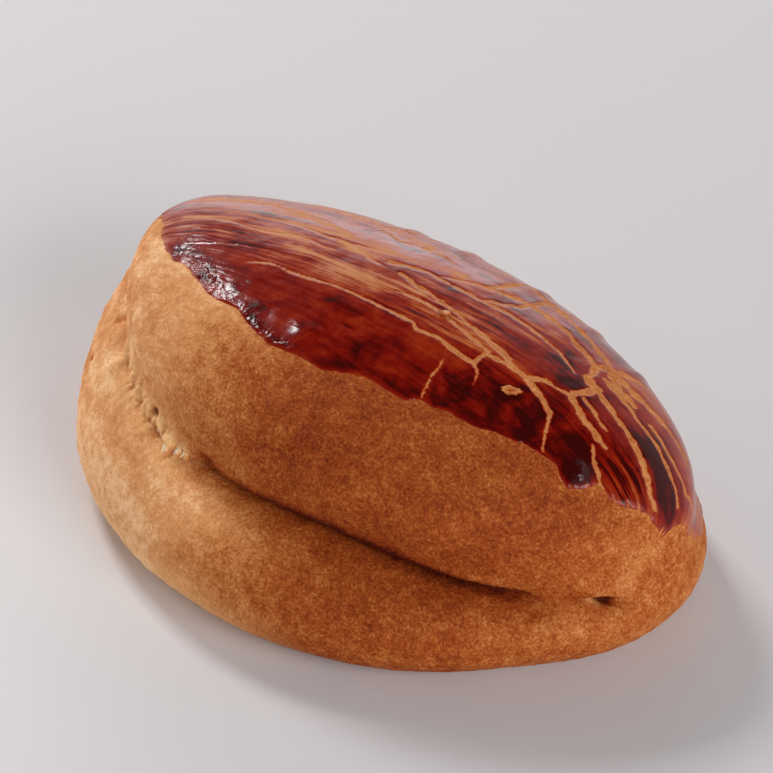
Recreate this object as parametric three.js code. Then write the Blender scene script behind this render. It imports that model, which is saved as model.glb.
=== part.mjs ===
// A cheese pogaca: a soft bun of one piece, made from a disc of dough folded over once.
// The thick lower lobe lies flat, the domed upper lobe leans on it towards the back, and the seam
// between them runs from the back of the left end, along the front, to a dimple at the right end.
// Millimetres, +Z up, X along the bun, -Y at the seam side, origin at the middle of the base.

import * as THREE from 'three';
import { mergeVertices } from 'three/addons/utils/BufferGeometryUtils.js';

// Plan outlines of the two lobes: superellipses that reach differently far to each of the four sides.
const LOWER_LOBE = {
  centre: [0, 0],
  reach: { right: 62.9, back: 37.9, left: 62.9, front: 48.8 },
  power: 1.9,
};
const UPPER_LOBE = {
  centre: [-1.5, -0.3],
  reach: { right: 62.1, back: 37, left: 51.1, front: 36.8 },
  power: 1.8,
};

// Heights above the table, at the four sides of the bun: it is thick at the left, thin at the right.
const HEIGHT = 46;
const LOWER_WIDEST = { right: 9.1, back: 8, left: 8, front: 7.2 };
const SEAM_HEIGHT = { right: 12.4, back: 15, left: 27, front: 21.6 };
const UPPER_WIDEST = { right: 20.2, back: 22.2, left: 35.3, front: 27.5 };

// Behind the left end the lower lobe climbs up the side of the upper one, and the seam with it.
const SEAM_CLIMB = { angle: 171, halfWidth: 17, seam: 10, lip: 4.7 };

// The upper lip rests on the lower lobe: a power below 1 tucks its underside in close above the seam.
const LIP_POWER = { right: 0.75, back: 1, left: 1, front: 0.6 };

// The rounding of the foot, the plan point of the dome's top, left of the middle, and the dome's
// fullness: a power of 1 rounds it as an ellipse, and below 1 it has a squarer shoulder.
const FOOT_ROUNDING = 8.5;
const DOME_TOP = new THREE.Vector2(-15.9, -5.8);
const DOME_POWER = { right: 1.03, back: 0.97, left: 0.84, front: 0.93 };

// The front of the foot is drawn in a little towards the right end.
const DRAWN_IN = { angle: 325, halfWidth: 15, depth: 1.6 };

// Angles run in degrees around the bun, from the right end by way of the back. The lobes part behind
// the left end and run together again at the right end, and the crease lies behind their lips: it
// gets shallow on its way to the right end.
const LOBES_PART = { from: 120, to: 155 };
const LOBES_MEET = { from: 330, to: 352 };
const CREASE_DEPTH = 5;
const SHALLOW = { from: 285, to: 330, depth: 1.2 };

// Where the crease is shallow a narrow slit marks the seam, down to a dimple at its end.
const SLIT = { from: 296, fullFrom: 325, fullTo: 343, to: 348, depth: 1.6, halfHeight: 0.9 };
const DIMPLE = { angle: 342.5, halfWidth: 3.5, depth: 2.2 };

// Left of the front the lips are torn apart: crumb fills the crease and bridges it in ragged ridges.
const TORN = { from: 186, fullFrom: 200, fullTo: 236, to: 254, halfHeight: 3.2 };
const TORN_FILL = 2.4;
const TORN_RIDGE = 1.2;
const TORN_RIDGES_AROUND = 37;

// Low bulges and hollows left by proving and baking: how far they push the sides, how long their
// waves are, and the heights between which they fade away towards the smooth top.
const BULGE_PUSH = 0.7;
const BULGE_LENGTH = { x: 13, y: 11, z: 7, lean: 19 };
const BULGE_FADE = { from: 33, to: 43 };

// The skin is a grid: columns around the bun, rows from the dome's top to the middle of the base.
const COLUMNS = 122;
const ROWS = { base: 2, foot: 6, shelf: 9, lip: 9, dome: 20 };

const BAKED_CRUST = 0xb87442;

const cut = THREE.MathUtils.smoothstep;

// A value given at the four sides, blended smoothly around the bun.
function around(angle, sides) {
  const across = Math.cos(angle);
  const along = Math.sin(angle);
  const end = across > 0 ? sides.right : sides.left;
  const flank = along > 0 ? sides.back : sides.front;
  return end * across * across + flank * along * along;
}

// The point of a lobe's plan outline in the direction of an angle.
function outlinePoint(lobe, angle) {
  const across = Math.cos(angle);
  const along = Math.sin(angle);
  const length = across > 0 ? lobe.reach.right : lobe.reach.left;
  const depth = along > 0 ? lobe.reach.back : lobe.reach.front;
  const sum = Math.abs(across / length) ** lobe.power + Math.abs(along / depth) ** lobe.power;
  const radius = sum ** (-1 / lobe.power);
  return new THREE.Vector2(...lobe.centre).add(new THREE.Vector2(across, along).multiplyScalar(radius));
}

// A stretch around the bun: 0 outside it, 1 over its full part.
function stretch(degrees, { from, fullFrom, fullTo, to }) {
  return cut(degrees, from, fullFrom) * (1 - cut(degrees, fullTo, to));
}

// A rounded bump of a given half width.
function bump(offset, halfWidth) {
  return Math.exp(-((offset / halfWidth) ** 2));
}

// How far the two lobes stand apart: 0 where they run into one another, 1 along the open crease.
function parting(degrees) {
  return cut(degrees, LOBES_PART.from, LOBES_PART.to) * (1 - cut(degrees, LOBES_MEET.from, LOBES_MEET.to));
}

// How far the skin is pushed out beside the seam: in at the slit and its dimple, out by torn crumb.
function seamRelief(degrees, aboveSeam) {
  const dimple = DIMPLE.depth * bump(degrees - DIMPLE.angle, DIMPLE.halfWidth);
  const slit = (SLIT.depth * stretch(degrees, SLIT) + dimple) * bump(aboveSeam, SLIT.halfHeight);
  const turn = THREE.MathUtils.degToRad(degrees) * TORN_RIDGES_AROUND;
  const ridges = Math.sin(turn + aboveSeam / TORN.halfHeight) + Math.sin(1.7 * turn);
  const crumb = (TORN_FILL + 0.5 * TORN_RIDGE * ridges) * bump(aboveSeam, TORN.halfHeight);
  return stretch(degrees, TORN) * crumb - slit;
}

// One meridian of the bun: the points from the middle of the base, around the foot, over the shelf
// of the lower lobe into the crease, out along the upper lip and over the dome to its top.
function meridian(angle) {
  const degrees = THREE.MathUtils.radToDeg(angle);
  const outward = new THREE.Vector2(Math.cos(angle), Math.sin(angle));
  const drawnIn = DRAWN_IN.depth * bump(degrees - DRAWN_IN.angle, DRAWN_IN.halfWidth);
  const lower = outlinePoint(LOWER_LOBE, angle).addScaledVector(outward, -drawnIn);
  const upper = outlinePoint(UPPER_LOBE, angle);
  const inner = lower.dot(outward) < upper.dot(outward) ? lower : upper;
  const depth = THREE.MathUtils.lerp(CREASE_DEPTH, SHALLOW.depth, cut(degrees, SHALLOW.from, SHALLOW.to));
  const crease = inner.clone().addScaledVector(outward, -depth);
  const lowerHeight = around(angle, LOWER_WIDEST);
  const climb = bump(degrees - SEAM_CLIMB.angle, SEAM_CLIMB.halfWidth);
  const seamHeight = around(angle, SEAM_HEIGHT) + SEAM_CLIMB.seam * climb;
  const upperHeight = around(angle, UPPER_WIDEST) + SEAM_CLIMB.lip * climb;
  const domePower = around(angle, DOME_POWER);
  const lipPower = around(angle, LIP_POWER);
  const opening = parting(degrees);
  const points = [];

  const add = (plan, height) => points.push(new THREE.Vector3(plan.x, plan.y, height));
  // Where the lobes have run together the wall goes straight from the lower one to the upper one.
  const addWall = (lobeSkin, height) => {
    const wall = lower.clone().lerp(upper, cut(height, lowerHeight, upperHeight)).lerp(lobeSkin, opening);
    add(wall.addScaledVector(outward, seamRelief(degrees, height - seamHeight)), height);
  };

  const footEdge = lower.clone().addScaledVector(outward, -FOOT_ROUNDING);
  for (let row = 0; row < ROWS.base; row++) {
    add(footEdge.clone().multiplyScalar(row / ROWS.base), 0);
  }
  for (let row = 0; row < ROWS.foot; row++) {
    const turn = (row / ROWS.foot) * (Math.PI / 2);
    add(footEdge.clone().lerp(lower, Math.sin(turn)), lowerHeight * (1 - Math.cos(turn)));
  }
  for (let row = 0; row < ROWS.shelf; row++) {
    const turn = (row / ROWS.shelf) * (Math.PI / 2);
    const height = THREE.MathUtils.lerp(lowerHeight, seamHeight, Math.sin(turn));
    addWall(lower.clone().lerp(crease, 1 - Math.cos(turn)), height);
  }
  for (let row = 0; row < ROWS.lip; row++) {
    const turn = (row / ROWS.lip) * (Math.PI / 2);
    const height = THREE.MathUtils.lerp(seamHeight, upperHeight, 1 - Math.cos(turn));
    addWall(crease.clone().lerp(upper, Math.sin(turn) ** lipPower), height);
  }
  for (let row = 0; row <= ROWS.dome; row++) {
    const turn = (row / ROWS.dome) * (Math.PI / 2);
    const reach = row < ROWS.dome ? Math.cos(turn) ** domePower : 0;
    const height = THREE.MathUtils.lerp(upperHeight, HEIGHT, Math.sin(turn) ** domePower);
    add(DOME_TOP.clone().lerp(upper, reach), height);
  }
  return points;
}

// The bulges push the sides in and out, and leave the base and the top as they are.
function bulge(point) {
  const side = cut(point.z, 0, LOWER_WIDEST.front) * (1 - cut(point.z, BULGE_FADE.from, BULGE_FADE.to));
  const swell = Math.sin(point.x / BULGE_LENGTH.x + 1) * Math.cos(point.y / BULGE_LENGTH.y);
  const wave = Math.sin(point.z / BULGE_LENGTH.z + point.x / BULGE_LENGTH.lean);
  const push = 0.5 * BULGE_PUSH * side * (swell + wave);
  const plan = new THREE.Vector3(point.x, point.y, 0).normalize();
  return point.clone().addScaledVector(plan, push);
}

// The bun's skin: the grid of a sphere, each of its columns laid along a meridian.
function bunGeometry() {
  const rowCount = Object.values(ROWS).reduce((sum, rows) => sum + rows, 0);
  const meridians = [];
  for (let column = 0; column < COLUMNS; column++) {
    meridians.push(meridian((column / COLUMNS) * 2 * Math.PI));
  }
  const skin = new THREE.SphereGeometry(1, COLUMNS, rowCount);
  const position = skin.getAttribute('position');
  for (let i = 0; i < position.count; i++) {
    const column = i % (COLUMNS + 1);
    const row = rowCount - Math.floor(i / (COLUMNS + 1));
    const point = bulge(meridians[column % COLUMNS][row]);
    position.setXYZ(i, point.x, point.y, point.z);
  }
  skin.deleteAttribute('normal');
  skin.deleteAttribute('uv');
  const closed = mergeVertices(skin);
  closed.computeBoundingBox();
  const middle = closed.boundingBox.getCenter(new THREE.Vector3());
  closed.translate(-middle.x, -middle.y, 0);
  closed.computeVertexNormals();
  return closed;
}

const crust = new THREE.MeshStandardMaterial({ color: BAKED_CRUST, roughness: 0.7, metalness: 0 });
const bun = new THREE.Mesh(bunGeometry(), crust);
bun.name = 'bun';

const pogaca = new THREE.Group();
pogaca.add(bun);

export default pogaca;
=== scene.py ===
import math

import bmesh
import bpy
import numpy as np
from mathutils import Matrix, Vector, kdtree, noise
from mathutils.bvhtree import BVHTree


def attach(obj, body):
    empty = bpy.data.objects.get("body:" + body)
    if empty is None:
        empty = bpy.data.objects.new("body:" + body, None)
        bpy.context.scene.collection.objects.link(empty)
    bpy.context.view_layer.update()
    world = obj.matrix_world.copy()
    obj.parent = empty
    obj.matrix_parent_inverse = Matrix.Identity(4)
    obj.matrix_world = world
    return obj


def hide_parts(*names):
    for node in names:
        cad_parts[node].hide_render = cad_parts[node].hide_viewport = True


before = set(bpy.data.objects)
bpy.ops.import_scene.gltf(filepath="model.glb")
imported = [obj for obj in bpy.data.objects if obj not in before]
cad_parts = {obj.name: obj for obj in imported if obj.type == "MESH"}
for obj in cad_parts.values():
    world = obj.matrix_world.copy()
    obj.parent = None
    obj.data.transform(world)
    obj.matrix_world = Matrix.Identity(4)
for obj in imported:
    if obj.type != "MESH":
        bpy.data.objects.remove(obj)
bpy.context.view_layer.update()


# The bun: one piece of soft yeast dough, folded over once and baked on a flat tray.
# Its dry skin is felt-like and mottled, browned along the front and pale at the left end,
# where the dough wrinkled and tore open along the fold.
MM = 0.001
ROUNDING_LEVELS = 2
# Waves of the skin, in millimetres: low swells, a coarse and a fine felt, and the left end's wrinkles.
SWELL_LENGTH = 11
SWELL_RISE = 0.22
FELT_LENGTH = 2.2
FELT_RISE = 0.14
FINE_FELT_LENGTH = 1.2
FINE_FELT_RISE = 0.12
FELT_LEFT_UNDER_GLAZE = 0.3
WRINKLE_LENGTH = 9
WRINKLE_PITCH = 1.5
WRINKLE_RISE = 0.28
# The seam's height at the right end, the back, the left end and the front, around this middle, and
# how far from the middle it is torn.
SEAM_HEIGHTS = (12.4, 15, 27, 21.6)
SEAM_MIDDLE = (0, 5.45)
TEAR_RADIUS = 52
# Stretches around the bun, in degrees: where each starts, is full, begins to fade and ends.
GROOVE_STRETCH = (285, 318, 327, 338)
HEALED_STRETCH = (331, 337, 341, 344)
TORN_STRETCH = (194, 212, 236, 244)
FILLED_STRETCH = (196, 206, 232, 242)
PALE_LIP_STRETCH = (225, 260, 320, 340)
DARK_SHELF_STRETCH = (246, 258, 285, 300)
DARK_LIP_STRETCH = (246, 258, 305, 325)
# Bands along the seam: their middle above it, and their half height.
GROOVE_BAND = (0, 0.42)
HEALED_BAND = (0, 1)
TORN_BAND = (1.2, 2.3)
FILLED_BAND = (0.6, 1.8)
PALE_LIP_BAND = (2, 1.5)
DARK_SHELF_BAND = (-0.1, 0.5)
DARK_LIP_BAND = (1.2, 2.4)
GROOVE_DEPTH = 0.6
HEALED_RISE = 1.3
FILLED_RISE = 1
# At the right end the seam runs out in a dimple, beside a plug of pale dough. Each: degrees and the
# height above the seam, and the half widths.
DIMPLE = ((344.8, 0), (0.9, 0.45))
DIMPLE_DEPTH = 1.2
PLUG = ((342.2, -0.1), (1, 0.4))
PLUG_RISE = 0.25
# Two holes in the tear: degrees and the height above the table, and the half widths.
TORN_HOLE = ((226, 26.6), (1.1, 0.6))
TORN_HOLE_DEPTH = 2.2
TORN_HOLLOW = ((246, 24.6), (4, 1.6))
TORN_HOLLOW_DEPTH = 1.1
# The tear is drawn out in fibres across the seam, and the mesh is finer there: degrees and heights.
FIBRE_WIDTH = 1.3
FIBRE_LENGTH = 3.2
FIBRE_RISE = 0.7
FIBRE_GROUND = 0.4
FINE_DEGREES = (212, 241.5)
FINE_HEIGHTS = (-0.9, 3)
# A short slit in the skin of the lower lobe, beside the tear.
SLIT_START = (-51.4, -7.8, 26.1)
SLIT_END = (-48.8, -6.6, 27.8)
SLIT_HALF = 0.6
SLIT_DEPTH = 0.6
# How far the heat browned the skin, from 0, straw, to 1, scorched: along the front, and under the glaze.
FRONT_BROWNING = 0.66
GLAZED_BROWNING = 0.4
BROWNING_LIMITS = (0.06, 1.2)
# Patches that baked paler or darker: the middle, the half widths and the change.
PATCHES = (
    ((-38, -34, 8), (16, 14, 9), -0.12),
    ((-34, 0, 0), (15, math.inf, math.inf), -0.11),
    ((-12, -34, 20), (9, 4.5, 3), -0.2),
    ((-53.9, -12.1, 19.7), (0.6, 0.6, 0.6), 0.7),
)
# The same beside the seam: degrees and the height above the seam.
SEAM_PATCHES = (((207, -1.6), (4, 1.8), -0.12), ((233, -4), (10, 3.2), 0.13))
# Small ones around the tear, all of one size: degrees, the height above the table and the change.
TEAR_PATCHES = (
    (208, 31, -0.12), (214, 31, 0.12), (221, 30.6, 0.14), (215, 24.6, 0.16), (229, 24, 0.12),
    (240, 28.4, 0.18), (232, 24.5, 0.16),
)
TEAR_PATCH_HALVES = (2, 1.3)
# The line along the top that the glaze was brushed in, and the width of a degree around it.
STROKE_START = np.array((-57, -6, 37.5))
STROKE_END = np.array((64, -13, 11))
DEGREE_WIDTH = 0.44
# The outline of the brushed patch: millimetres along the strokes and degrees around them.
GLAZE_EDGE = (
    (3, 161), (5, 153), (7, 146), (9, 134), (13, 111), (16, 99), (19, 96), (22, 88), (24, 84),
    (27, 77), (30, 75), (34, 76), (39, 69), (44, 65), (48, 67), (52, 69), (55, 69), (58, 74), (62, 79),
    (66, 80), (70, 81), (72, 86), (78, 90), (82, 92), (88, 99), (94, 104), (97, 105), (99, 102),
    (101, 102), (103, 108), (104, 115), (107, 117), (109, 120), (111, 125), (113, 131), (116, 140),
    (117, 152), (118, 171), (118, 177), (115, 180), (109, 179), (104, 177), (96, 175), (86, 174),
    (76, 175), (66, 176), (56, 178), (46, 181), (37, 183), (28, 185), (21, 184), (15, 183), (9, 182),
    (5, 178), (2, 169),
)


def smooth(value, low, high):
    """A soft step from 0 at low to 1 at high."""
    share = np.clip((value - low) / (high - low), 0, 1)
    return share * share * (3 - 2 * share)


def stretch(value, start, full, fading, end):
    """A soft stretch: 0 outside it, 1 where it is full."""
    return smooth(value, start, full) * (1 - smooth(value, fading, end))


def spot(places, middle, halves):
    """A soft round spot, in one direction or in several, with its middle and its half widths."""
    offsets = (np.atleast_2d(places).T - middle) / halves
    return np.exp(-(offsets ** 2).sum(axis=1))


def ripple(points, length, seed):
    """Seeded noise from about -1 to 1 at points in millimetres, with waves of a length or of three."""
    shift = Vector((seed * 17.3, seed * 5.1, seed * 9.7))
    return np.array([noise.noise(Vector(point) + shift) for point in points / np.array(length)])


def from_line(places, start, end):
    """How far places are from the straight line between two points."""
    run = np.subtract(end, start)
    legs = places - np.array(start)
    share = np.clip(legs @ run / run.dot(run), 0, 1)
    return np.linalg.norm(legs - share[:, None] * run, axis=1)


def read_points(mesh):
    """The mesh's points, in millimetres, and its normals, as arrays."""
    points = np.empty(len(mesh.vertices) * 3)
    normals = np.empty(len(mesh.vertices) * 3)
    mesh.vertices.foreach_get("co", points)
    mesh.vertex_normals.foreach_get("vector", normals)
    return points.reshape(-1, 3) / MM, normals.reshape(-1, 3)


def store(mesh, name, values):
    """Keeps one number for each point of the mesh, for its material to read."""
    mesh.attributes.new(name, "FLOAT", "POINT").data.foreach_set("value", values)


def make_piece(name, shape):
    """A new object with a smoothly shaded mesh, which takes over and frees the shape."""
    mesh = bpy.data.meshes.new(name)
    shape.to_mesh(mesh)
    shape.free()
    mesh.polygons.foreach_set("use_smooth", [True] * len(mesh.polygons))
    piece = bpy.data.objects.new(name, mesh)
    bpy.context.collection.objects.link(piece)
    return piece


def stroke_directions():
    """Unit directions of the brush: along a stroke, to the front, and up."""
    along = (STROKE_END - STROKE_START) / np.linalg.norm(STROKE_END - STROKE_START)
    front = np.array((0, -1, 0)) + along[1] * along
    front /= np.linalg.norm(front)
    return along, front, np.cross(front, along)


ALONG, FRONT, UP = stroke_directions()


def edge_gap(along, around):
    """About how far inside the glaze's edge a place lies, in millimetres; below 0 it is outside."""
    corners = np.array(GLAZE_EDGE) * (1, DEGREE_WIDTH)
    across = around * DEGREE_WIDTH
    places = np.column_stack((along, across))
    gaps = np.full(len(along), np.inf)
    inside = np.zeros(len(along), dtype=bool)
    for start, end in zip(corners, np.roll(corners, -1, axis=0)):
        gaps = np.minimum(gaps, from_line(places, start, end))
        (x0, y0), (x1, y1) = start, end
        crosses = (y0 > across) != (y1 > across)
        if y1 != y0:
            inside ^= crosses & (along < x0 + (across - y0) * (x1 - x0) / (y1 - y0))
    return np.where(inside, gaps, -gaps)


def beside_seam(points):
    """The angle of points around the bun, in degrees, and their height above the seam."""
    turn = np.arctan2(points[:, 1] - SEAM_MIDDLE[1], points[:, 0] - SEAM_MIDDLE[0])
    right, back, left, front = SEAM_HEIGHTS
    seam_height = np.where(np.cos(turn) > 0, right, left) * np.cos(turn) ** 2
    seam_height += np.where(np.sin(turn) > 0, back, front) * np.sin(turn) ** 2
    return np.degrees(turn) % 360, points[:, 2] - seam_height


# The solid's facets are joined to a grid of quads and rounded off.
skin = bmesh.new()
skin.from_mesh(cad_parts["bun"].data)
bmesh.ops.remove_doubles(skin, verts=skin.verts, dist=0.001 * MM)
bmesh.ops.join_triangles(
    skin, faces=skin.faces, angle_face_threshold=math.pi, angle_shape_threshold=math.pi
)
bun = make_piece("baked_bun", skin)
rounding = bun.modifiers.new("rounding", "SUBSURF")
rounding.levels = ROUNDING_LEVELS
rounding.render_levels = ROUNDING_LEVELS
bun_mesh = bpy.data.meshes.new_from_object(bun.evaluated_get(bpy.context.evaluated_depsgraph_get()))
bun.modifiers.clear()
bun.data = bun_mesh
bun_mesh.name = "baked_bun"
bun_mesh.attributes.remove(bun_mesh.attributes["custom_normal"])

degrees, above_seam = beside_seam(read_points(bun_mesh)[0])
by_tear = (degrees > FINE_DEGREES[0]) & (degrees < FINE_DEGREES[1])
by_tear &= (above_seam > FINE_HEIGHTS[0]) & (above_seam < FINE_HEIGHTS[1])
skin = bmesh.new()
skin.from_mesh(bun_mesh)
bmesh.ops.subdivide_edges(
    skin,
    edges=[edge for edge in skin.edges if all(by_tear[point.index] for point in edge.verts)],
    cuts=2,
    use_grid_fill=True,
)
skin.to_mesh(bun_mesh)
skin.free()

# Where the features of the skin lie, from 0 to 1 for each point.
points, normals = read_points(bun_mesh)
x, y, z = points.T
degrees, above_seam = beside_seam(points)
from_start = points - STROKE_START
glaze_gap = edge_gap(
    from_start @ ALONG, np.degrees(np.arctan2(from_start @ UP, from_start @ FRONT)) % 360
)
off_base = smooth(z, 0.3, 3.5)
under_glaze = smooth(glaze_gap, -0.5, 1)
wrinkled = smooth(-x, 18, 46) * smooth(-y, -22, 6) * (1 - smooth(z, 26, 36))
shrunk = spot(points.T, (-26, -20, 36), (14, 14, 8)) * (1 - under_glaze)
groove = stretch(degrees, *GROOVE_STRETCH) * spot(above_seam, *GROOVE_BAND)
healed = stretch(degrees, *HEALED_STRETCH) * spot(above_seam, *HEALED_BAND)
torn = stretch(degrees, *TORN_STRETCH) * spot(above_seam, *TORN_BAND)
filled = stretch(degrees, *FILLED_STRETCH) * spot(above_seam, *FILLED_BAND)
dimple = spot((degrees, above_seam), *DIMPLE)
plug = spot((degrees, above_seam), *PLUG)
torn_hole = spot((degrees, z), *TORN_HOLE)
torn_hollow = spot((degrees, z), *TORN_HOLLOW)
slit = spot(from_line(points, SLIT_START, SLIT_END), 0, SLIT_HALF)
fibre_run = np.column_stack(
    (np.radians(degrees) * TEAR_RADIUS / FIBRE_WIDTH, above_seam / FIBRE_LENGTH, 0 * z)
)
fibres = smooth(ripple(fibre_run, 1, 8) + 0.5 * ripple(points, 0.8, 9), -0.35, 0.45)

felt = FELT_RISE * ripple(points, FELT_LENGTH, 2) + FINE_FELT_RISE * ripple(points, FINE_FELT_LENGTH, 3)
felt *= (1 + shrunk) * (1 - (1 - FELT_LEFT_UNDER_GLAZE) * under_glaze)
wrinkles = ripple(points, (WRINKLE_LENGTH, WRINKLE_LENGTH, WRINKLE_PITCH), 4)
relief = SWELL_RISE * ripple(points, SWELL_LENGTH, 1) + felt + WRINKLE_RISE * wrinkled * wrinkles
for rise, feature in (
    (-GROOVE_DEPTH, groove), (HEALED_RISE, healed), (-DIMPLE_DEPTH, dimple), (PLUG_RISE, plug),
    (-TORN_HOLE_DEPTH, torn_hole), (-TORN_HOLLOW_DEPTH, torn_hollow), (-SLIT_DEPTH, slit),
    (FILLED_RISE, filled), (FIBRE_RISE, torn * (fibres - FIBRE_GROUND)),
):
    relief += rise * feature
points += (off_base * relief)[:, None] * normals
bun_mesh.vertices.foreach_set("co", (points * MM).ravel())
bun_mesh.update()

# Each row is a change in browning and where it is.
lower_lobe = 1 - smooth(above_seam, -3, 0)
browning_and_shade = np.full(len(points), FRONT_BROWNING)
for change, where in (
    (-0.48, smooth(-x + 16 * lower_lobe, -8, 48)),  # Pale to the left end, the lower lobe first.
    (-0.18, smooth(x, 36, 64)),  # Paler at the right end.
    (-0.04, lower_lobe),
    (-0.12, spot(glaze_gap, -1.2, 1.1) * smooth(-x, -10, 20)),  # A pale rim beside the glaze.
    (-0.1, stretch(degrees, *PALE_LIP_STRETCH) * spot(above_seam, *PALE_LIP_BAND)),
):
    browning_and_shade += change * where
browning_and_shade += under_glaze * (GLAZED_BROWNING - 0.1 * smooth(-x, 0, 30) - browning_and_shade)
pale_foot = (1 - smooth(z, 3, 12)) * smooth(-x, -18, 14) * smooth(-y, 16, 32)
# Where the skin faces down under the lip over the seam, for painted shade there.
lip_underside = smooth(-normals[:, 2], -0.1, 0.4) * spot(above_seam, *DARK_LIP_BAND)
# Each row is a change in browning and where it is. The groove, the dimple, the slit, the torn hole and
# hollow, the shelf under the lip and the lip's underside are darkened as painted shade in these
# recesses.
for change, where in (
    (-0.12, pale_foot), (-0.3, plug), (0.4, groove), (0.6, dimple), (0.3, slit),
    # The filled crease is made paler as painted light against its shade, and the gaps between the fibres
    # darker as painted shade.
    (0.9, torn_hole), (0.4, torn_hollow), (0.1, torn * (1 - fibres)), (-0.1, filled),
    (0.1, stretch(degrees, *DARK_SHELF_STRETCH) * spot(above_seam, *DARK_SHELF_BAND)),
    (0.5, stretch(degrees, *DARK_LIP_STRETCH) * lip_underside),
    (0.07, ripple(points, 14, 5)),
    (0.05, ripple(points, 5, 6)),
):
    browning_and_shade += change * where
for middle, halves, change in PATCHES:
    browning_and_shade += change * spot(points.T, middle, halves)
for middle, halves, change in SEAM_PATCHES:
    browning_and_shade += change * spot((degrees, above_seam), middle, halves)
for *middle, change in TEAR_PATCHES:
    browning_and_shade += change * spot((degrees, z), middle, TEAR_PATCH_HALVES)
mottling = 0.07 + 0.18 * ripple(points, (5, 5, 2.6), 7) + 0.16 * ripple(points, (15, 15, 6), 10)
browning_and_shade += smooth(-x, 24, 48) * mottling
# The crust's colours read this browning, which also holds the painted shade of the seam and its holes.
store(bun_mesh, "browning_and_shade", np.clip(browning_and_shade, *BROWNING_LIMITS))
# The pale dough is the torn crumb, the foot and the plug; in the tear it is weaker in the gaps between
# the fibres, as painted shade.
store(bun_mesh, "pale_dough", torn * (0.35 + 0.6 * fibres) + 0.4 * pale_foot + 0.8 * plug)


def paint(hex_colour):
    """An sRGB hex colour as the linear one that a shader takes."""
    channels = [int(hex_colour[i : i + 2], 16) / 255 for i in (1, 3, 5)]
    linear = [c / 12.92 if c <= 0.04045 else ((c + 0.055) / 1.055) ** 2.4 for c in channels]
    return (*linear, 1.0)


def add_node(tree, kind, inputs=None, **settings):
    """A node of one kind with its settings, and with a value or a link for each input that is named."""
    made = tree.nodes.new(kind)
    for name, value in settings.items():
        setattr(made, name, value)
    for socket, value in (inputs or {}).items():
        if isinstance(value, bpy.types.NodeSocket):
            tree.links.new(value, made.inputs[socket])
        else:
            made.inputs[socket].default_value = value
    return made


def new_material(name):
    """A new material, its tree of nodes and its shader."""
    material = bpy.data.materials.new(name)
    material.use_nodes = True
    return material, material.node_tree, material.node_tree.nodes["Principled BSDF"]


def places_in_mm(tree):
    """The places on a piece, in millimetres, for the patterns of its material."""
    place = add_node(tree, "ShaderNodeTexCoord").outputs["Object"]
    return add_node(
        tree, "ShaderNodeVectorMath", {0: place, "Scale": 1 / MM}, operation="SCALE"
    ).outputs[0]


# Baked wheat crust: a dry, matt skin, mottled from straw to chestnut by the heat, with a fine felt
# of burst bubbles. It gives the eye a soft speckle and only a faint broad shine.
# Clouds and mottles, in millimetres: their size and how much they change the tone.
CRUST_CLOUDS = (6, 0.3)
CRUST_MOTTLES = (1.7, 0.43)
SPECKLE_SIZE = 0.5
PIT_DEPTH = 0.25
crust, tree, surface = new_material("baked_wheat_crust")
mm_place = places_in_mm(tree)
# The browning read here holds the bake and also painted shade in the seam, the holes and under the lip.
browning_and_shade_here = add_node(tree, "ShaderNodeAttribute", attribute_name="browning_and_shade").outputs["Fac"]
speckle_share = add_node(
    tree, "ShaderNodeMapRange", {0: browning_and_shade_here, 1: 0.1, 2: 0.55, 3: 0.4, 4: 0.85}
).outputs[0]
tone = browning_and_shade_here
for size, share, wisps in ((*CRUST_CLOUDS, 0), (*CRUST_MOTTLES, 0), (SPECKLE_SIZE, speckle_share, 0.2)):
    cloud = add_node(
        tree,
        "ShaderNodeTexNoise",
        {"Vector": mm_place, "Scale": 1 / size, "Detail": 3, "Roughness": 0.6, "Distortion": wisps},
    ).outputs["Fac"]
    centred = add_node(tree, "ShaderNodeMath", {0: cloud, 1: 0.5}, operation="SUBTRACT").outputs[0]
    tone = add_node(
        tree, "ShaderNodeMath", {0: centred, 1: share, 2: tone}, operation="MULTIPLY_ADD"
    ).outputs[0]
crust_and_shade_colours = add_node(tree, "ShaderNodeValToRGB", {0: tone})
crust_and_shade_colours.color_ramp.elements[0].color = paint("#FCC996")
crust_and_shade_colours.color_ramp.elements[1].color = paint("#54180A")
for share, hex_colour in (
    (0.15, "#E6A268"), (0.35, "#CC8248"), (0.5, "#B4622A"), (0.65, "#9C4616"), (0.85, "#7A2C0C"),
):
    crust_and_shade_colours.color_ramp.elements.new(share).color = paint(hex_colour)
pits = add_node(
    tree, "ShaderNodeBump", {"Strength": 0.7, "Distance": PIT_DEPTH * MM, "Height": cloud}
).outputs[0]
crumb_share = add_node(tree, "ShaderNodeAttribute", attribute_name="pale_dough").outputs["Fac"]
skin_colour = add_node(
    tree,
    "ShaderNodeMix",
    {"Factor": crumb_share, "A": crust_and_shade_colours.outputs[0], "B": paint("#FFD092")},
    data_type="RGBA",
)
tree.links.new(skin_colour.outputs["Result"], surface.inputs["Base Color"])
tree.links.new(pits, surface.inputs["Normal"])
surface.inputs["Roughness"].default_value = 0.7
surface.inputs["Specular IOR Level"].default_value = 0.12
bun_mesh.materials.clear()
bun_mesh.materials.append(crust)
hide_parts("bun")
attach(bun, "root")


# The glaze: beaten egg yolk, brushed in long strokes over the top lobe and baked to a thin film.
# It pooled dark along the front, ran thin at the right end, and cracked into flakes along the
# strokes as the dough rose, so that the crust shows through in tan lines.
FILM = 0.11
FILM_ROOT = 0.34
THINNEST_FILM = 0.03
# The grid that the film is cut from: its reach and its pitch along the strokes, in millimetres, and
# around them, in degrees.
GRID_ALONG = (0, 121)
GRID_AROUND = (62, 188)
ALONG_PITCH = 0.5
AROUND_PITCH = 0.72
GRID_MARGIN = 1.5
CRACK_MARGIN = 0.5
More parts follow.
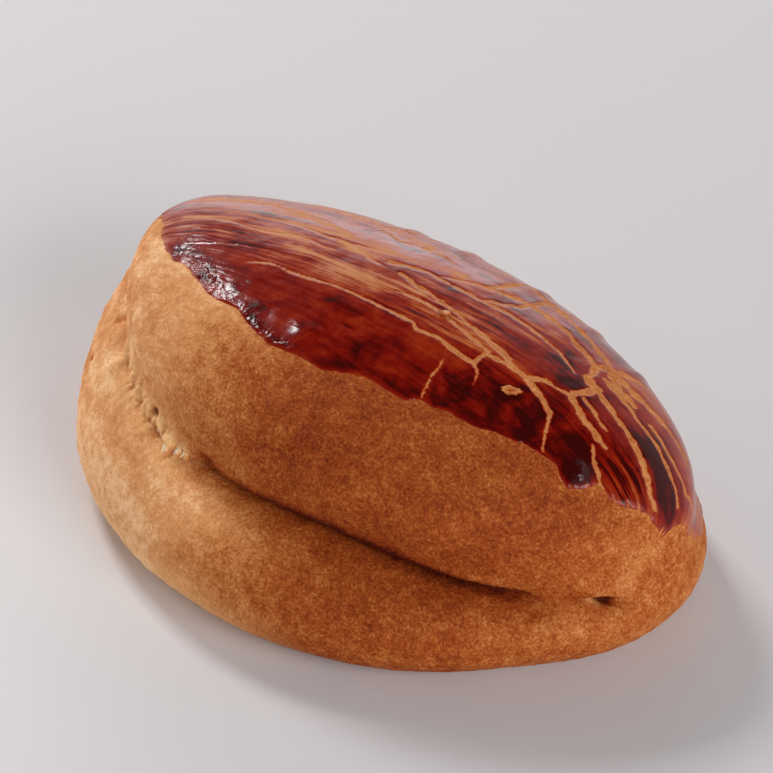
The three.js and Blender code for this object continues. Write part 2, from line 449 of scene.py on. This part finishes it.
# A face of the grid whose edges or area on the crust are beyond these is left out, and so is a flake
# of fewer faces.
SHORTEST_EDGE = 0.02
LONGEST_EDGE = 2.2
SMALLEST_FACE = 0.0005
SMALLEST_FLAKE = 30
# How far out from the strokes a place on the crust is looked for, and from how far out the nearest one
# is taken where none is met.
REACH = 90
NEAR_REACH = 20
# Waves that make the edges ragged: their length, how far they shift the edge, and their seed.
EDGE_WAVES = ((3.1, 0.35, 11), (1.1, 0.18, 12))
CRACK_WAVES = ((0.7, 0.2, 13), (1.9, 0.14, 17))
# Each crack: its points along and around the strokes, and its half width there in hundredths of a
# millimetre. Below 0 the film is only thin there.
CRACKS = (
    ((28, 115, -5), (31, 119, 15), (38, 118, 20), (46, 120, 15), (52, 120, 25), (57, 120, 35),
     (60, 120, 25), (62, 117, 30), (66, 119, 40), (71, 117, 50), (74, 117, 50), (76, 114, 15),
     (77, 108, -5)),
    ((74, 118, 45), (74, 124, 45), (78, 125, 45), (81, 125, 65), (84, 124, 65), (87, 122, 70),
     (90, 120, 45), (91, 116, 35), (92, 111, 25), (94, 105, 10)),
    ((69, 115, -30), (70, 107, 12), (71, 97, 15), (72, 88, 10)),
    ((53, 131, 5), (57, 132, 35), (62, 131, 35), (68, 128, 35), (74, 125, 35)),
    ((50, 140, 35), (55, 137, 40), (62, 135, 40), (70, 131, 40), (77, 127, 40), (81, 125, 45)),
    ((63, 134, 0), (71, 131, 25), (78, 128, 25)),
    ((47, 143, 55), (53, 145, 35), (59, 144, 35), (65, 144, 45), (70, 145, 35), (77, 144, 35),
     (82, 143, 25), (87, 140, 15)),
    ((55, 145, 10), (60, 149, 20), (63, 150, 60), (64, 155, 60), (65, 162, 70)),
    ((63, 150, 50), (68, 153, 60), (73, 153, 80), (78, 152, 60), (83, 150, 70), (88, 148, 85)),
    ((64, 144, 15), (67, 147, 45), (70, 150, 50), (71, 159, 70), (72, 161, 80)),
    ((65, 163, 50), (73, 160, 100), (78, 157, 80), (84, 155, 70), (90, 152, 80)),
    ((38, 159, 40), (43, 156, 50), (49, 156, 50), (56, 153, 0)),
    ((37, 163, 50), (41, 164, 70), (45, 164, 40), (54, 166, 0)),
    ((83, 126, 65), (85, 129, 55), (88, 130, 35), (90, 131, 75), (91, 136, 95), (92, 141, 90)),
    ((89, 142, 80), (90, 141, 110), (92, 140, 90)),
    ((89, 142, 55), (88, 148, 85), (89, 150, 100), (91, 153, 100), (94, 158, 60), (96, 164, 10)),
    ((91, 149, 95), (95, 147, 95), (98, 147, 60)),
    ((90, 131, 75), (95, 127, 65), (99, 126, 70), (101, 126, 30)),
    ((92, 134, 45), (97, 131, 35), (99, 131, 10)),
    ((92, 140, 80), (97, 138, 70), (103, 136, 75), (108, 134, 70), (111, 133, 55), (113, 134, 40)),
    ((91, 146, 75), (96, 145, 80), (101, 144, 45), (107, 144, 45), (111, 144, 40), (115, 146, 20)),
    ((90, 151, 100), (96, 151, 110), (100, 153, 80), (104, 155, 80), (110, 158, 30)),
    ((102, 147, 40), (109, 148, 40), (114, 151, 40), (116, 160, 20)),
    ((99, 123, 10), (100, 121, 45), (101, 119, 45), (103, 117, 50), (105, 115, 50)),
    ((10, 145, -10), (15, 143, 0), (24, 140, 5), (29, 142, 10), (36, 140, 5)),
    ((9, 158, -10), (19, 158, 5), (25, 155, 12), (30, 155, 12), (35, 150, 10)),
    ((35, 147, 10), (39, 145, 20), (43, 142, 20), (47, 140, 5)),
    ((14, 119, -30), (18, 122, -15), (22, 126, -10), (27, 128, -25)),
    ((24, 149, 5), (34, 146, 20), (46, 147, 10)),
)
# A crack sways, in millimetres along and degrees around, and swells, each in waves of a length. The
# film thins out towards it over the fade.
CRACK_STEP = 0.12
CRACK_SWAY = (0.3, 0.5)
SWAY_LENGTH = 2.6
SWAY_SEED = 1
CRACK_SWELL = 0.7
CRACK_SWELL_LENGTH = 1.8
OPEN_SHARE = 0.8
FADE = 0.2
# Drops that fell beside the brushed patch: along and around the strokes, and their radius.
SPLASHES = ((84, 86, 0.8), (85, 88, 0.5), (75, 82, 0.45), (78, 87, 0.4))
# Long streaks where the brush left little yolk: points along and around the strokes.
STREAKS = (
    ((10, 145), (24, 141), (37, 140)), ((9, 158), (20, 158), (36, 150)),
    ((14, 168), (30, 165), (48, 158)), ((30, 135), (40, 133), (52, 131)), ((36, 146), (44, 142)),
    ((26, 149), (46, 148), (58, 150)),
)
STREAK_HALF = 0.6
STREAK_COVER = -0.42
# How much of the crust's colour the yolk covers, from 0 to 1, and patches where it is thin or thick:
# the middle along and around the strokes, the half widths, and the change.
FULL_COVER = 0.9
COVER_PATCHES = (
    ((26, 115), (5, 5), -0.3), ((71, 113), (5, 5), -0.25), ((40, 143), (3, 4), -0.4),
    ((24, 154), (16, 14), -0.1), ((70, 138.6), (5, 2), 0.25), ((80, 154), (4, 2), 0.25),
    ((93, 150), (6, 6), -0.4), ((65, 98), (7, 8), 0.1), ((50, 100), (8, 8), -0.08),
    ((107, 140), (6, 4), 0.3), ((85, 143), (5, 4), 0.15), ((84, 137), (8, 7), 0.2),
)
# A drip at the front edge, a dent left by a bristle and a soft bulge: along and around the strokes,
# the half widths in millimetres, and the rise.
DRIP = (100.5, 110.3), (2.2, 1.9), 0.9
DENT = (52.2, 100.6), (1.7, 0.5), -0.3
BULGE = (48, 82), (2.5, 3.8), 0.5
# Flakes that lifted at the back of the top: along the strokes, with a slant around them.
LIFTED = (40, 52, 67, 80, 92)
LIFTED_AROUND = 168
LIFTED_HALVES = (1.5, 10)
LIFTED_RISE = 0.4
LIFTED_SLANT = 0.1
SLANT_AROUND = 165

baked_skin = BVHTree.FromObject(bun, bpy.context.evaluated_depsgraph_get())


def on_crust(along, around):
    """The crust's point and normal, in metres, at a place along and an angle around the strokes."""
    angle = math.radians(around)
    heading = Vector(math.cos(angle) * FRONT + math.sin(angle) * UP)
    outside = Vector((STROKE_START + along * ALONG) * MM) + heading * (REACH * MM)
    point, normal, _, _ = baked_skin.ray_cast(outside, -heading)
    if point is None:
        point, normal, _, _ = baked_skin.find_nearest(outside - heading * (REACH - NEAR_REACH) * MM)
    return point, normal


# The sway is a vector noise, which is seeded here so that each run gives the same cracks.
noise.seed_set(SWAY_SEED)
crack_places = []
crack_halves = []
for number, crack in enumerate(CRACKS):
    for (u0, a0, h0), (u1, a1, h1) in zip(crack, crack[1:]):
        steps = math.ceil(math.hypot(u1 - u0, (a1 - a0) * DEGREE_WIDTH) / CRACK_STEP)
        for share in np.arange(steps) / steps:
            u = u0 + share * (u1 - u0)
            a = a0 + share * (a1 - a0)
            sway = noise.noise_vector((u / SWAY_LENGTH, a * DEGREE_WIDTH / SWAY_LENGTH, number))
            crack_places.append(on_crust(u + CRACK_SWAY[0] * sway.x, a + CRACK_SWAY[1] * sway.y)[0])
            wave = (u / CRACK_SWELL_LENGTH, a * DEGREE_WIDTH / CRACK_SWELL_LENGTH, number + 50)
            swell = 1 + CRACK_SWELL * noise.noise(wave)
            crack_halves.append((h0 + share * (h1 - h0)) / 100 * swell * OPEN_SHARE)
crack_tree = kdtree.KDTree(len(crack_places))
for i, crack_place in enumerate(crack_places):
    crack_tree.insert(crack_place, i)
crack_tree.balance()


def read_film(film):
    """The film's points: along and around the strokes, where they lie on the crust, its normals there,
    how far inside the patch's edge they are and how far inside a crack, in millimetres."""
    flat = np.array([point.co for point in film.verts])
    along, around = flat[:, 0], flat[:, 1] / DEGREE_WIDTH
    laid = [on_crust(u, a) for u, a in zip(along, around)]
    on_skin = np.array([point for point, _ in laid]) / MM
    gaps = edge_gap(along, around)
    for u, a, radius in SPLASHES:
        gaps = np.maximum(gaps, radius - np.hypot(along - u, (around - a) * DEGREE_WIDTH))
    gaps += sum(shift * ripple(flat, length, seed) for length, shift, seed in EDGE_WAVES)
    bare = np.array([
        max(crack_halves[i] - distance / MM for _, i, distance in crack_tree.find_n(point, 3))
        for point, _ in laid
    ])
    bare += sum(shift * ripple(on_skin, length, seed) for length, shift, seed in CRACK_WAVES)
    return along, around, on_skin, [normal for _, normal in laid], gaps, bare


# A flat grid, finer beside the cracks, is cut along the patch's edge and along the cracks.
film = bmesh.new()
grid_length = GRID_ALONG[1] - GRID_ALONG[0]
grid_turn = GRID_AROUND[1] - GRID_AROUND[0]
bmesh.ops.create_grid(
    film,
    x_segments=round(grid_length / ALONG_PITCH),
    y_segments=round(grid_turn / AROUND_PITCH),
    size=0.5,
)
for point in film.verts:
    point.co.x = GRID_ALONG[0] + (point.co.x + 0.5) * grid_length
    point.co.y = (GRID_AROUND[0] + (point.co.y + 0.5) * grid_turn) * DEGREE_WIDTH
_, _, _, _, gaps, _ = read_film(film)
film.verts.ensure_lookup_table()
outside = [film.verts[i] for i in np.flatnonzero(gaps < -GRID_MARGIN)]
bmesh.ops.delete(film, geom=outside, context="VERTS")
_, _, _, _, _, bare = read_film(film)
by_crack = {point for point, depth in zip(film.verts, bare) if depth > -CRACK_MARGIN}
bmesh.ops.subdivide_edges(
    film,
    edges=[edge for edge in film.edges if by_crack.intersection(edge.verts)],
    cuts=1,
    use_grid_fill=True,
)
_, _, _, _, gaps, bare = read_film(film)
inside_layer = film.verts.layers.float.new("inside")
for point, inside in zip(film.verts, np.minimum(gaps, FADE - bare)):
    point[inside_layer] = inside
cut_points = []
for edge in [e for e in film.edges if e.verts[0][inside_layer] * e.verts[1][inside_layer] < 0]:
    near, far = edge.verts
    share = near[inside_layer] / (near[inside_layer] - far[inside_layer])
    _, cut_point = bmesh.utils.edge_split(edge, near, share)
    cut_point[inside_layer] = 0
    cut_points.append(cut_point)
bmesh.ops.connect_verts(film, verts=cut_points)
bare_faces = [f for f in film.faces if sum(v[inside_layer] for v in f.verts) <= 0]
bmesh.ops.delete(film, geom=bare_faces, context="FACES")
bmesh.ops.dissolve_degenerate(film, edges=film.edges, dist=SHORTEST_EDGE)

# Faces that would be drawn out or crushed on the crust go, and corners where two flakes only touch,
# and scraps of film.
film.verts.index_update()
_, _, on_skin, _, _, _ = read_film(film)
misfits = set()
for edge in film.edges:
    start, end = (on_skin[point.index] for point in edge.verts)
    if not SHORTEST_EDGE < np.linalg.norm(end - start) < LONGEST_EDGE:
        misfits.add(edge)
scraps = []
for face in film.faces:
    corners = on_skin[[point.index for point in face.verts]]
    arms = corners[1:] - corners[0]
    area = np.linalg.norm(np.cross(arms[:-1], arms[1:]).sum(axis=0)) / 2
    if area < SMALLEST_FACE or misfits.intersection(face.edges):
        scraps.append(face)
bmesh.ops.delete(film, geom=scraps, context="FACES")
pinched = list(film.verts)
while pinched:
    pinched = [point for point in film.verts if sum(edge.is_boundary for edge in point.link_edges) > 2]
    bmesh.ops.delete(film, geom=pinched, context="VERTS")
waiting = set(film.faces)
scraps = []
while waiting:
    flake = [waiting.pop()]
    for face in flake:
        beside = {other for edge in face.edges for other in edge.link_faces} & waiting
        waiting -= beside
        flake.extend(beside)
    if len(flake) < SMALLEST_FLAKE:
        scraps.extend(flake)
bmesh.ops.delete(film, geom=scraps, context="FACES")

# How the yolk lies on the crust: what it covers, how much the bristles and the crinkles show, and how
# far it fades towards the cracks.
along, around, on_skin, crust_normals, gaps, bare = read_film(film)
to_mm = np.array((1, DEGREE_WIDTH))
brushed = np.column_stack((along, around))
laid_flat = brushed * to_mm
upper = smooth(around, 115, 127)
drip, dent, bulge = (
    spot(laid_flat.T, middle * to_mm, halves) for middle, halves, _ in (DRIP, DENT, BULGE)
)
drip *= smooth(gaps, 0, 1.2)
brushed_out = spot(brushed.T, (56, 129), (14, 6)) * smooth(around, 117, 122)
cover = np.full(len(along), FULL_COVER)
for change, where in (
    (-0.16, upper * (1 - smooth(along, 78, 90))),  # Thinner on the top than along the front.
    (-0.06, smooth(around, 153, 168)),
    (-0.28, brushed_out),
    (-0.25, smooth(around, 147, 156) * smooth(along, 88, 98)),  # Thin at the right end.
    (-0.1, smooth(along, 101, 106) * (1 - smooth(gaps, 1, 4)) * (1 - smooth(around, 129, 139))),
    (0.2, stretch(along, 70, 80, 100, 106) * (1 - upper)),  # Pooled along the front.
    (0.12, stretch(along, 30, 46, 72, 86) * spot(gaps, 2, 1.1)),  # A dark rim inside the front edge.
    (-0.2, 1 - smooth(gaps, -0.1, 0.9)),  # Worn thin at the very edge.
    (0.3, drip),
    (0.3, dent),
):
    cover += change * where
for middle, halves, change in COVER_PATCHES:
    cover += change * spot(brushed.T, middle, halves)
for streak in STREAKS:
    ends = np.array(streak) * to_mm
    from_streak = np.min([from_line(laid_flat, *leg) for leg in zip(ends, ends[1:])], axis=0)
    cover += STREAK_COVER * spot(from_streak, 0, STREAK_HALF)
bristly = 0.08 + 0.3 * upper * (1 - 0.8 * smooth(along, 74, 86))
bristly += 0.3 * spot(brushed.T, (56, 129), (14, 7)) + 0.2 * spot(brushed.T, (20, 151), (18, 16))
bristly += 0.4 * smooth(along, 100, 106) * smooth(8 - gaps, 0, 5) * (1 - smooth(around, 128, 138))
crinkle = spot((along, gaps), (23, 1.5), (6.5, 3)) + 0.6 * spot((along, gaps), (45, 1), (14, 1.5)) + drip
fringe = smooth(-bare, -FADE, 0.4)

strokes = np.column_stack((along / 30, laid_flat[:, 1] / 1.3, 0 * along))
rise = FILM * smooth(gaps, -0.1, 0.9) * smooth(-bare, -FADE, 0.45)
rise += 0.03 * ripple(strokes, 1, 14) + 0.04 * ripple(on_skin, 5, 16)
rise += 0.17 * crinkle * ripple(on_skin, 1.4, 15)
rise += DRIP[2] * drip + DENT[2] * dent + BULGE[2] * bulge
slanted = np.array((along - LIFTED_SLANT * (around - SLANT_AROUND), around))
for lifted in LIFTED:
    flake_edge = spot(slanted, (lifted, LIFTED_AROUND), LIFTED_HALVES)
    rise += LIFTED_RISE * flake_edge * smooth(gaps, 0.5, 3)
rise = np.maximum(rise, THINNEST_FILM)
for point, place, normal, lift in zip(film.verts, on_skin, crust_normals, rise):
    point.co = Vector(place * MM) + normal * (lift * MM)
glaze = make_piece("egg_glaze", film)
for name, values in (
    ("along", along), ("around", around), ("fringe", fringe),
    ("cover", cover), ("bristly", bristly), ("crinkle", crinkle),
):
    store(glaze.data, name, values)
thickening = glaze.modifiers.new("film", "SOLIDIFY")
thickening.thickness = (FILM + FILM_ROOT) * MM
thickening.offset = -1

# Baked egg yolk: a hard, glossy, red-brown film, nearly black where it pooled and amber where it is
# thin. It gives the eye sharp highlights that break up along the brush strokes and the crinkles.
# Its patterns, in millimetres, the bristles' width in degrees, and the depth of its marks.
WANDER_LENGTH = 10
WANDER_DEGREES = 4
BRISTLE_LENGTH = 16
BRISTLE_DEGREES = 2
PATCH_LENGTH = 6
FINE_SKIN_LENGTH = 0.9
GRIT_LENGTH = 0.4
BRUSH_MARK_DEPTH = 0.1
SKIN_MARK_DEPTH = 0.15
CRINKLE_DEPTH = 0.35
egg, tree, surface = new_material("baked_egg_yolk")
mm_place = places_in_mm(tree)
along_stroke, around_stroke, fringe_here, cover_here, bristly_here, crinkle_here = (
    add_node(tree, "ShaderNodeAttribute", attribute_name=name).outputs["Fac"]
    for name in ("along", "around", "fringe", "cover", "bristly", "crinkle")
)
wander = add_node(
    tree, "ShaderNodeTexNoise", {"Vector": mm_place, "Scale": 1 / WANDER_LENGTH, "Detail": 2}
).outputs["Fac"]
wandering = add_node(
    tree, "ShaderNodeMath", {0: wander, 1: WANDER_DEGREES, 2: around_stroke}, operation="MULTIPLY_ADD"
).outputs[0]
slow_along = add_node(
    tree, "ShaderNodeMath", {0: along_stroke, 1: 1 / BRISTLE_LENGTH}, operation="MULTIPLY"
).outputs[0]
bristle = add_node(
    tree, "ShaderNodeMath", {0: wandering, 1: 1 / BRISTLE_DEGREES}, operation="MULTIPLY"
).outputs[0]
brush = add_node(tree, "ShaderNodeCombineXYZ", {0: slow_along, 1: bristle}).outputs[0]
bristles = add_node(
    tree, "ShaderNodeTexNoise", {"Vector": brush, "Scale": 1, "Detail": 4, "Roughness": 0.65}
).outputs["Fac"]
fine_skin = add_node(
    tree, "ShaderNodeTexNoise", {"Vector": mm_place, "Scale": 1 / FINE_SKIN_LENGTH, "Detail": 3}
).outputs["Fac"]
patches = add_node(
    tree,
    "ShaderNodeTexNoise",
    {"Vector": mm_place, "Scale": 1 / PATCH_LENGTH, "Detail": 5, "Roughness": 0.6, "Distortion": 0.5},
).outputs["Fac"]
swing = add_node(
    tree, "ShaderNodeMapRange", {0: bristles, 1: 0.3, 2: 0.7, 3: -1, 4: 1}, clamp=False
).outputs[0]
brushed_film = add_node(
    tree, "ShaderNodeMath", {0: swing, 1: bristly_here, 2: cover_here}, operation="MULTIPLY_ADD"
).outputs[0]
patchy = add_node(
    tree, "ShaderNodeMapRange", {0: patches, 1: 0.3, 2: 0.7, 3: -0.3, 4: 0.12}
).outputs[0]
film_depth = add_node(
    tree, "ShaderNodeMath", {0: brushed_film, 1: patchy}, operation="ADD", use_clamp=True
).outputs[0]
grit = add_node(
    tree, "ShaderNodeTexNoise", {"Vector": mm_place, "Scale": 1 / GRIT_LENGTH, "Detail": 2}
).outputs["Fac"]
grain = add_node(tree, "ShaderNodeMapRange", {0: grit, 1: 0.3, 2: 0.7, 3: -0.16, 4: 0.16}).outputs[0]
gritty = add_node(tree, "ShaderNodeMath", {0: grain, 1: fringe_here}, operation="ADD").outputs[0]
ragged = add_node(
    tree, "ShaderNodeMath", {0: swing, 1: 0.14, 2: gritty}, operation="MULTIPLY_ADD"
).outputs[0]
thin_edge = add_node(
    tree, "ShaderNodeMapRange", {0: ragged, 1: 0.1, 2: 0.85, 3: 0.05, 4: 1}
).outputs[0]
thickness = add_node(
    tree, "ShaderNodeMath", {0: film_depth, 1: thin_edge}, operation="MULTIPLY"
).outputs[0]
film_colours = add_node(tree, "ShaderNodeValToRGB", {0: thickness})
film_colours.color_ramp.elements[0].color = paint("#C88450")
film_colours.color_ramp.elements[1].color = paint("#3A0402")
for share, hex_colour in (
    (0.2, "#BE6E36"), (0.4, "#A84616"), (0.6, "#962A0C"), (0.8, "#7C1004"), (0.93, "#5A0501"),
):
    film_colours.color_ramp.elements.new(share).color = paint(hex_colour)
gloss = add_node(
    tree, "ShaderNodeMapRange", {0: thickness, 1: 0.1, 2: 0.6, 3: 0.55, 4: 0.14}
).outputs[0]
brush_marks = add_node(
    tree, "ShaderNodeBump", {"Strength": 0.2, "Distance": BRUSH_MARK_DEPTH * MM, "Height": brushed_film}
).outputs[0]
skin_marks = add_node(
    tree,
    "ShaderNodeBump",
    {"Strength": 0.12, "Distance": SKIN_MARK_DEPTH * MM, "Height": fine_skin, "Normal": brush_marks},
).outputs[0]
crinkles = add_node(
    tree, "ShaderNodeMath", {0: fine_skin, 1: crinkle_here}, operation="MULTIPLY"
).outputs[0]
crinkle_marks = add_node(
    tree,
    "ShaderNodeBump",
    {"Strength": 0.9, "Distance": CRINKLE_DEPTH * MM, "Height": crinkles, "Normal": skin_marks},
).outputs[0]
tree.links.new(film_colours.outputs[0], surface.inputs["Base Color"])
tree.links.new(gloss, surface.inputs["Roughness"])
surface.inputs["Specular IOR Level"].default_value = 0.26
tree.links.new(crinkle_marks, surface.inputs["Normal"])
glaze.data.materials.append(egg)
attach(glaze, "root")


# The torn crumb: the dough's soft inside, which shows where the fold pulled apart at the left.
# It stands in two ragged tufts of a few lumps each in the crease, fast to both lobes.
# Each lump: degrees around the seam, and half sizes along it, across it and outwards.
TUFTS = (
    (228.4, 0.8, 1.1, 0.5), (230.2, 1.1, 1.4, 0.8), (234.6, 0.9, 1.5, 0.6), (236.6, 1.2, 1.8, 0.9),
    (238.6, 0.9, 1.3, 0.6),
)
SUNK_SHARE = 0.35
# The tear is looked into from outside and above, at this slope.
TEAR_SLOPE = 0.8


def in_tear(around):
    """The crust's point at an angle around the torn seam, and the way out of the crease there."""
    angle = math.radians(around)
    outward = Vector((math.cos(angle), math.sin(angle), 0))
    height = SEAM_HEIGHTS[2] * math.cos(angle) ** 2 + SEAM_HEIGHTS[3] * math.sin(angle) ** 2
    outside = Vector((*SEAM_MIDDLE, height)) * MM + outward * (REACH * MM)
    crease = baked_skin.ray_cast(outside, -outward)[0]
    way_out = (outward + Vector((0, 0, TEAR_SLOPE))).normalized()
    return baked_skin.ray_cast(crease + way_out * (REACH * MM), -way_out)[0], way_out


def add_lump(piece, layer, seat, run, halves, dish, seed):
    """A ragged lump on a seat, a point and a normal: half sizes along a run, across it and outwards, in
    millimetres, and the depth of a dish in its top. Its layer keeps how far each point stands out."""
    point, normal = seat
    side = (run - normal * run.dot(normal)).normalized()
    axes = Matrix((side, normal.cross(side), normal)).transposed()
    shift = Vector((seed * 7.7, seed * 3.1, seed * 1.3))
    for vert in bmesh.ops.create_icosphere(piece, subdivisions=4, radius=1)["verts"]:
        from_rim = max(0, 1 - (vert.co.x ** 2 + vert.co.y ** 2) / 0.7) if vert.co.z > 0 else 0
        vert[layer] = vert.co.z - 2 * dish * from_rim
        ragged = 1 + 0.5 * noise.noise(vert.co * 1.7 + shift) + 0.3 * noise.noise(vert.co * 4 + shift)
        shape = Vector([share * half for share, half in zip(vert.co, halves)]) * ragged
        shape.z -= dish * from_rim
        vert.co = point + axes @ shape * MM


torn_bits = bmesh.new()
stands_out = torn_bits.verts.layers.float.new("stands_out")
for number, (tuft_at, *halves) in enumerate(TUFTS):
    point, way_out = in_tear(tuft_at)
    seat = (point - way_out * (SUNK_SHARE * halves[2] * MM), way_out)
    add_lump(torn_bits, stands_out, seat, Vector((0, 0, 1)).cross(way_out), halves, 0, number)
torn_crumb = make_piece("torn_crumb", torn_bits)

# Soft wheat crumb: a dull, open, cream-coloured sponge, orange in its pores and darker orange low on
# each lump, as painted shade where it meets the crust. It gives the eye a pale, ragged edge without any
# shine.
PORE_SIZE = 0.7
PORE_DEPTH = 0.25
sponge, tree, surface = new_material("soft_wheat_crumb")
pores = add_node(
    tree, "ShaderNodeTexNoise", {"Vector": places_in_mm(tree), "Scale": 1 / PORE_SIZE, "Detail": 3}
).outputs["Fac"]
out_here = add_node(tree, "ShaderNodeAttribute", attribute_name="stands_out").outputs["Fac"]
# Lower on a lump the colour turns orange, as painted shade beside the crust; the pores add a random
# tone.
pores_and_height = add_node(
    tree, "ShaderNodeMath", {0: pores, 1: 1.6, 2: out_here}, operation="MULTIPLY_ADD"
).outputs[0]
paleness = add_node(tree, "ShaderNodeMapRange", {0: pores_and_height, 1: 0.7, 2: 1.7, 3: 0, 4: 1}).outputs[0]
crumb_colours = add_node(tree, "ShaderNodeValToRGB", {0: paleness})
crumb_colours.color_ramp.elements[0].color = paint("#DC8E46")
crumb_colours.color_ramp.elements[1].color = paint("#FFE0B8")
crumb_colours.color_ramp.elements.new(0.5).color = paint("#F8BE84")
pits = add_node(
    tree, "ShaderNodeBump", {"Strength": 0.6, "Distance": PORE_DEPTH * MM, "Height": pores}
).outputs[0]
tree.links.new(crumb_colours.outputs[0], surface.inputs["Base Color"])
tree.links.new(pits, surface.inputs["Normal"])
surface.inputs["Roughness"].default_value = 0.9
surface.inputs["Specular IOR Level"].default_value = 0.1
torn_crumb.data.materials.append(sponge)
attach(torn_crumb, "root")


# The chips: two crumbs of toasted crust that were baked into the glaze, one of them a dished flake.
# Each: along and around the strokes, half sizes lengthwise, across and outwards, and its dish.
CHIPS = ((82.4, 115.8, 1.6, 0.85, 0.6, 0.5), (62.8, 130.9, 0.8, 0.6, 0.6, 0.0))
CHIP_RUN = Vector((0.83, 0.56, 0))
RAISED_SHARE = 0.3
CHIP_SEED = 40

chips = bmesh.new()
stands_out = chips.verts.layers.float.new("stands_out")
for number, (chip_along, chip_around, *halves, dish) in enumerate(CHIPS):
    point, normal = on_crust(chip_along, chip_around)
    seat = (point + normal * (FILM + RAISED_SHARE * halves[2]) * MM, normal)
    add_lump(chips, stands_out, seat, CHIP_RUN, halves, dish, CHIP_SEED + number)
crust_chips = make_piece("crust_chips", chips)

# Toasted crumb: a dry, brittle flake. It gives the eye an orange middle and a pale broken rim.
toast, tree, surface = new_material("toasted_crumb")
out_here = add_node(tree, "ShaderNodeAttribute", attribute_name="stands_out").outputs["Fac"]
chip_colours = add_node(tree, "ShaderNodeValToRGB", {0: out_here})
chip_colours.color_ramp.elements[0].color = paint("#9C4A14")
chip_colours.color_ramp.elements[1].color = paint("#E2A77C")
chip_colours.color_ramp.elements.new(0.3).color = paint("#C06C2E")
tree.links.new(chip_colours.outputs[0], surface.inputs["Base Color"])
surface.inputs["Roughness"].default_value = 0.6
surface.inputs["Specular IOR Level"].default_value = 0.2
crust_chips.data.materials.append(toast)
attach(crust_chips, "root")


# The stage: a plain pale table top, under soft light from windows at the left and a card at the right.
# It isn't part of the bun.
TABLE_HALF = 3
table = bmesh.new()
bmesh.ops.create_grid(table, x_segments=1, y_segments=1, size=TABLE_HALF)
table_top = make_piece("table_top", table)
stone, tree, surface = new_material("pale_honed_stone")
surface.inputs["Base Color"].default_value = paint("#DAD7D8")
surface.inputs["Roughness"].default_value = 0.35
table_top.data.materials.append(stone)

# The camera: degrees, and millimetres for its aim and its distance.
VIEW_AZIMUTH = 34.21
VIEW_ELEVATION = 38.63
VIEW_AIM = (-2.05, 7.26, 23.29)
VIEW_DISTANCE = 650


def seen_from(azimuth, elevation):
    """The unit direction of an azimuth and an elevation, in degrees, seen from the bun."""
    turn, climb = math.radians(azimuth), math.radians(elevation)
    return Vector((math.sin(turn) * math.cos(climb), -math.cos(turn) * math.cos(climb), math.sin(climb)))


camera_data = bpy.data.cameras.new("camera")
camera_data.lens = 169.52
camera_data.sensor_width = 36
camera = bpy.data.objects.new("camera", camera_data)
bpy.context.collection.objects.link(camera)
to_camera = seen_from(VIEW_AZIMUTH, VIEW_ELEVATION)
camera.location = (Vector(VIEW_AIM) + to_camera * VIEW_DISTANCE) * MM
camera.rotation_euler = to_camera.to_track_quat("Z", "Y").to_euler()
bpy.context.scene.camera = camera

# Each light: azimuth and elevation in degrees, distance, width and height in metres, and watts.
for name, azimuth, elevation, distance, width, height, watts in (
    ("window", -116, 42, 1.2, 0.26, 0.22, 6.6),
    ("low_window", -84, 13, 1.3, 1.0, 0.4, 4.5),
    ("right_card", 72, 28, 1.3, 0.9, 0.6, 11),
):
    light = bpy.data.lights.new(name, "AREA")
    light.shape = "RECTANGLE"
    light.size = width
    light.size_y = height
    light.energy = watts
    lamp = bpy.data.objects.new(name, light)
    bpy.context.collection.objects.link(lamp)
    towards = seen_from(azimuth, elevation)
    lamp.location = towards * distance
    lamp.rotation_euler = towards.to_track_quat("Z", "Y").to_euler()

# The room: pale low walls, brightest behind the left end, under a dim ceiling.
BRIGHT_WALL_AZIMUTH = -146
room = bpy.data.worlds.new("room")
room.use_nodes = True
tree = room.node_tree
backdrop = tree.nodes["Background"]
heading = add_node(tree, "ShaderNodeTexCoord").outputs["Generated"]
behind = add_node(
    tree,
    "ShaderNodeVectorMath",
    {0: heading, 1: seen_from(BRIGHT_WALL_AZIMUTH, 0)},
    operation="DOT_PRODUCT",
).outputs["Value"]
wall = add_node(tree, "ShaderNodeMapRange", {0: behind, 1: 0.87, 2: 0.985, 3: 0.62, 4: 3.2}).outputs[0]
skyward = add_node(tree, "ShaderNodeSeparateXYZ", {0: heading}).outputs[2]
low_down = add_node(tree, "ShaderNodeMapRange", {0: skyward, 1: 0.4, 2: 0.72, 3: 1, 4: 0.12}).outputs[0]
glow = add_node(tree, "ShaderNodeMath", {0: wall, 1: low_down}, operation="MULTIPLY").outputs[0]
tree.links.new(glow, backdrop.inputs["Strength"])
backdrop.inputs["Color"].default_value = paint("#F4F0F2")
bpy.context.scene.world = room
bpy.context.scene.view_settings.view_transform = "Standard"
